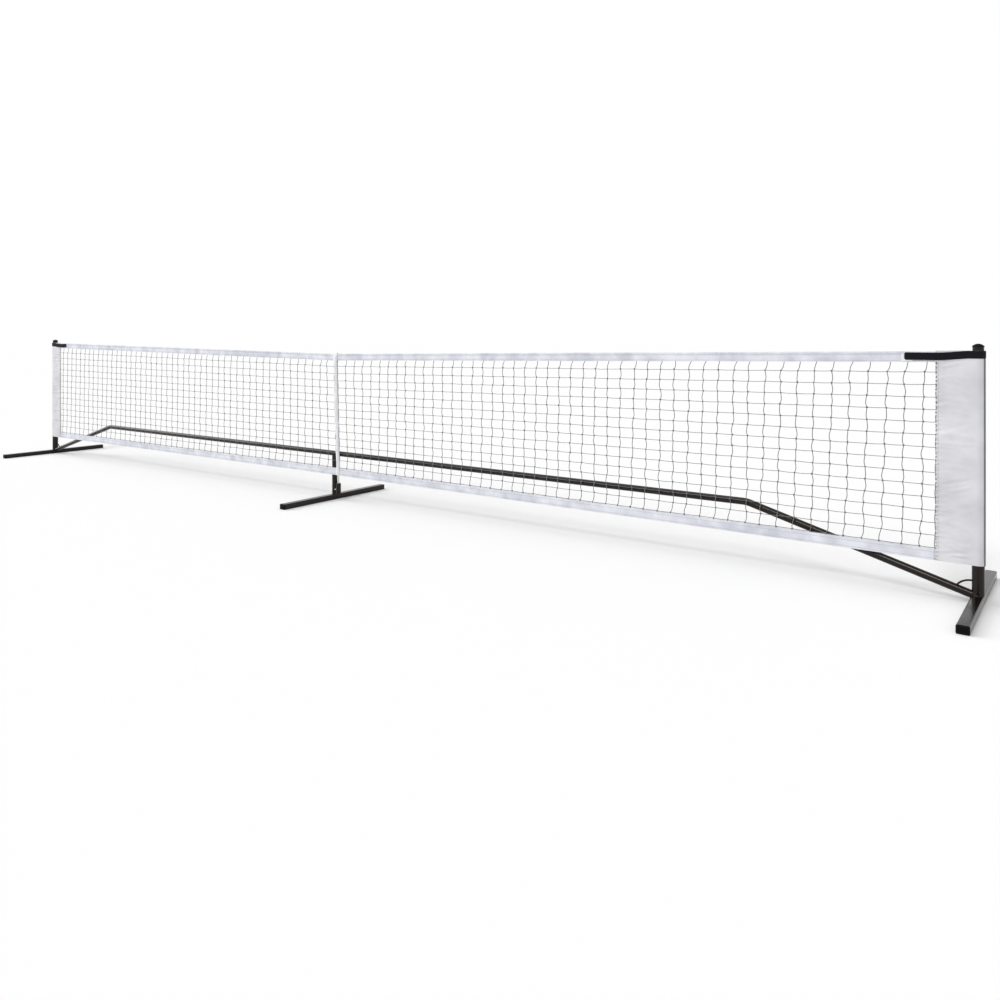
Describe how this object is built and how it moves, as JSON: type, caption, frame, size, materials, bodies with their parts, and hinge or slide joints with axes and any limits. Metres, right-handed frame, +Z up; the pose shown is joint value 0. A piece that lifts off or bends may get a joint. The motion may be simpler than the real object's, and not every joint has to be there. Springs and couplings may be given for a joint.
{
  "type": "portable net",
  "caption": "Portable pickleball net: low tubular steel frame on cross feet with a bent crossbar, centre post and rod, and a taped mesh net held by end sleeves and straps.",
  "frame": {"origin": "on the ground, midway between the two end posts", "axes": "+X along the net, +Y towards the side with the crossbar, so the net hangs on the -Y side, +Z up"},
  "size_m": [6.7558, 0.8, 0.94],
  "materials": {
    "black_powder_coat": "gloss powder coat",
    "black_plastic": "moulded, matt",
    "white_tape": "woven polyester webbing",
    "white_sleeve_cloth": "coated woven polyester",
    "grey_binding": "ribbed edge binding",
    "hook_and_loop": "black brushed loop face",
    "black_twine": "knotted polyethylene twine",
    "braided_cord": "braided polyester cord",
    "white_fibreglass": "smooth pultruded rod",
    "plated_button": "zinc plated",
    "spring_steel": "bright leaf steel"
  },
  "bodies": {
    "frame_and_net": {"left_foot_tube": "black_powder_coat", "centre_foot_tube": "black_powder_coat", "right_foot_tube": "black_powder_coat", "left_foot_plugs": "black_plastic", "centre_foot_plugs": "black_plastic", "right_foot_plugs": "black_plastic", "left_base_stub": "black_powder_coat", "right_base_stub": "black_powder_coat", "left_brace_stub": "black_powder_coat", "right_brace_stub": "black_powder_coat", "left_gusset_rod": "black_powder_coat", "right_gusset_rod": "black_powder_coat", "left_post": "black_powder_coat", "right_post": "black_powder_coat", "left_post_cap": "black_plastic", "right_post_cap": "black_plastic", "left_bent_tube": "black_powder_coat", "right_bent_tube": "black_powder_coat", "left_outer_tube": "black_powder_coat", "right_outer_tube": "black_powder_coat", "left_inner_tube": "black_powder_coat", "right_inner_tube": "black_powder_coat", "crossbar_tee": "black_powder_coat", "centre_post": "black_powder_coat", "centre_spigot": "black_powder_coat", "socket_bracket": "black_powder_coat", "rod_socket": "black_powder_coat", "centre_rod": "white_fibreglass", "rod_pocket": "white_tape", "net_mesh": "black_twine", "top_tape": "white_tape", "bottom_tape": "white_tape", "top_cord": "braided_cord", "left_sleeve": "white_sleeve_cloth", "right_sleeve": "white_sleeve_cloth", "left_sleeve_binding": "grey_binding", "right_sleeve_binding": "grey_binding", "left_strap": "hook_and_loop", "right_strap": "hook_and_loop", "post_clip_springs": "spring_steel", "crossbar_clip_springs": "spring_steel"},
    "left_post_button": {"left_post_button": "plated_button"},
    "right_post_button": {"right_post_button": "plated_button"},
    "centre_post_button": {"centre_post_button": "plated_button"},
    "left_brace_button": {"left_brace_button": "plated_button"},
    "right_brace_button": {"right_brace_button": "plated_button"},
    "left_bend_button": {"left_bend_button": "plated_button"},
    "right_bend_button": {"right_bend_button": "plated_button"},
    "left_middle_button": {"left_middle_button": "plated_button"},
    "right_middle_button": {"right_middle_button": "plated_button"},
    "left_tee_button": {"left_tee_button": "plated_button"},
    "right_tee_button": {"right_tee_button": "plated_button"}
  },
  "joints": [
    {"name": "left_post_button_press", "type": "slide", "parent": "frame_and_net", "child": "left_post_button", "axis": [0, -1, 0], "range_m": [0, 0.0052], "stiffness_N_per_m": 2500, "springref_m": -0.002, "deforming": ["post_clip_springs"]},
    {"name": "right_post_button_press", "type": "slide", "parent": "frame_and_net", "child": "right_post_button", "axis": [0, -1, 0], "range_m": [0, 0.0052], "stiffness_N_per_m": 2500, "springref_m": -0.002, "deforming": ["post_clip_springs"]},
    {"name": "centre_post_button_press", "type": "slide", "parent": "frame_and_net", "child": "centre_post_button", "axis": [-0.7071, 0.7071, 0], "range_m": [0, 0.0052], "stiffness_N_per_m": 2500, "springref_m": -0.002, "deforming": ["post_clip_springs"]},
    {"name": "left_brace_button_press", "type": "slide", "parent": "frame_and_net", "child": "left_brace_button", "axis": [0, -1, 0], "range_m": [0, 0.005], "stiffness_N_per_m": 2500, "springref_m": -0.002, "deforming": ["crossbar_clip_springs"]},
    {"name": "right_brace_button_press", "type": "slide", "parent": "frame_and_net", "child": "right_brace_button", "axis": [0, -1, 0], "range_m": [0, 0.005], "stiffness_N_per_m": 2500, "springref_m": -0.002, "deforming": ["crossbar_clip_springs"]},
    {"name": "left_bend_button_press", "type": "slide", "parent": "frame_and_net", "child": "left_bend_button", "axis": [0, -1, 0], "range_m": [0, 0.005], "stiffness_N_per_m": 2500, "springref_m": -0.002, "deforming": ["crossbar_clip_springs"]},
    {"name": "right_bend_button_press", "type": "slide", "parent": "frame_and_net", "child": "right_bend_button", "axis": [0, -1, 0], "range_m": [0, 0.005], "stiffness_N_per_m": 2500, "springref_m": -0.002, "deforming": ["crossbar_clip_springs"]},
    {"name": "left_middle_button_press", "type": "slide", "parent": "frame_and_net", "child": "left_middle_button", "axis": [0, -1, 0], "range_m": [0, 0.005], "stiffness_N_per_m": 2500, "springref_m": -0.002, "deforming": ["crossbar_clip_springs"]},
    {"name": "right_middle_button_press", "type": "slide", "parent": "frame_and_net", "child": "right_middle_button", "axis": [0, -1, 0], "range_m": [0, 0.005], "stiffness_N_per_m": 2500, "springref_m": -0.002, "deforming": ["crossbar_clip_springs"]},
    {"name": "left_tee_button_press", "type": "slide", "parent": "frame_and_net", "child": "left_tee_button", "axis": [0, -1, 0], "range_m": [0, 0.005], "stiffness_N_per_m": 2500, "springref_m": -0.002, "deforming": ["crossbar_clip_springs"]},
    {"name": "right_tee_button_press", "type": "slide", "parent": "frame_and_net", "child": "right_tee_button", "axis": [0, -1, 0], "range_m": [0, 0.005], "stiffness_N_per_m": 2500, "springref_m": -0.002, "deforming": ["crossbar_clip_springs"]}
  ]
}
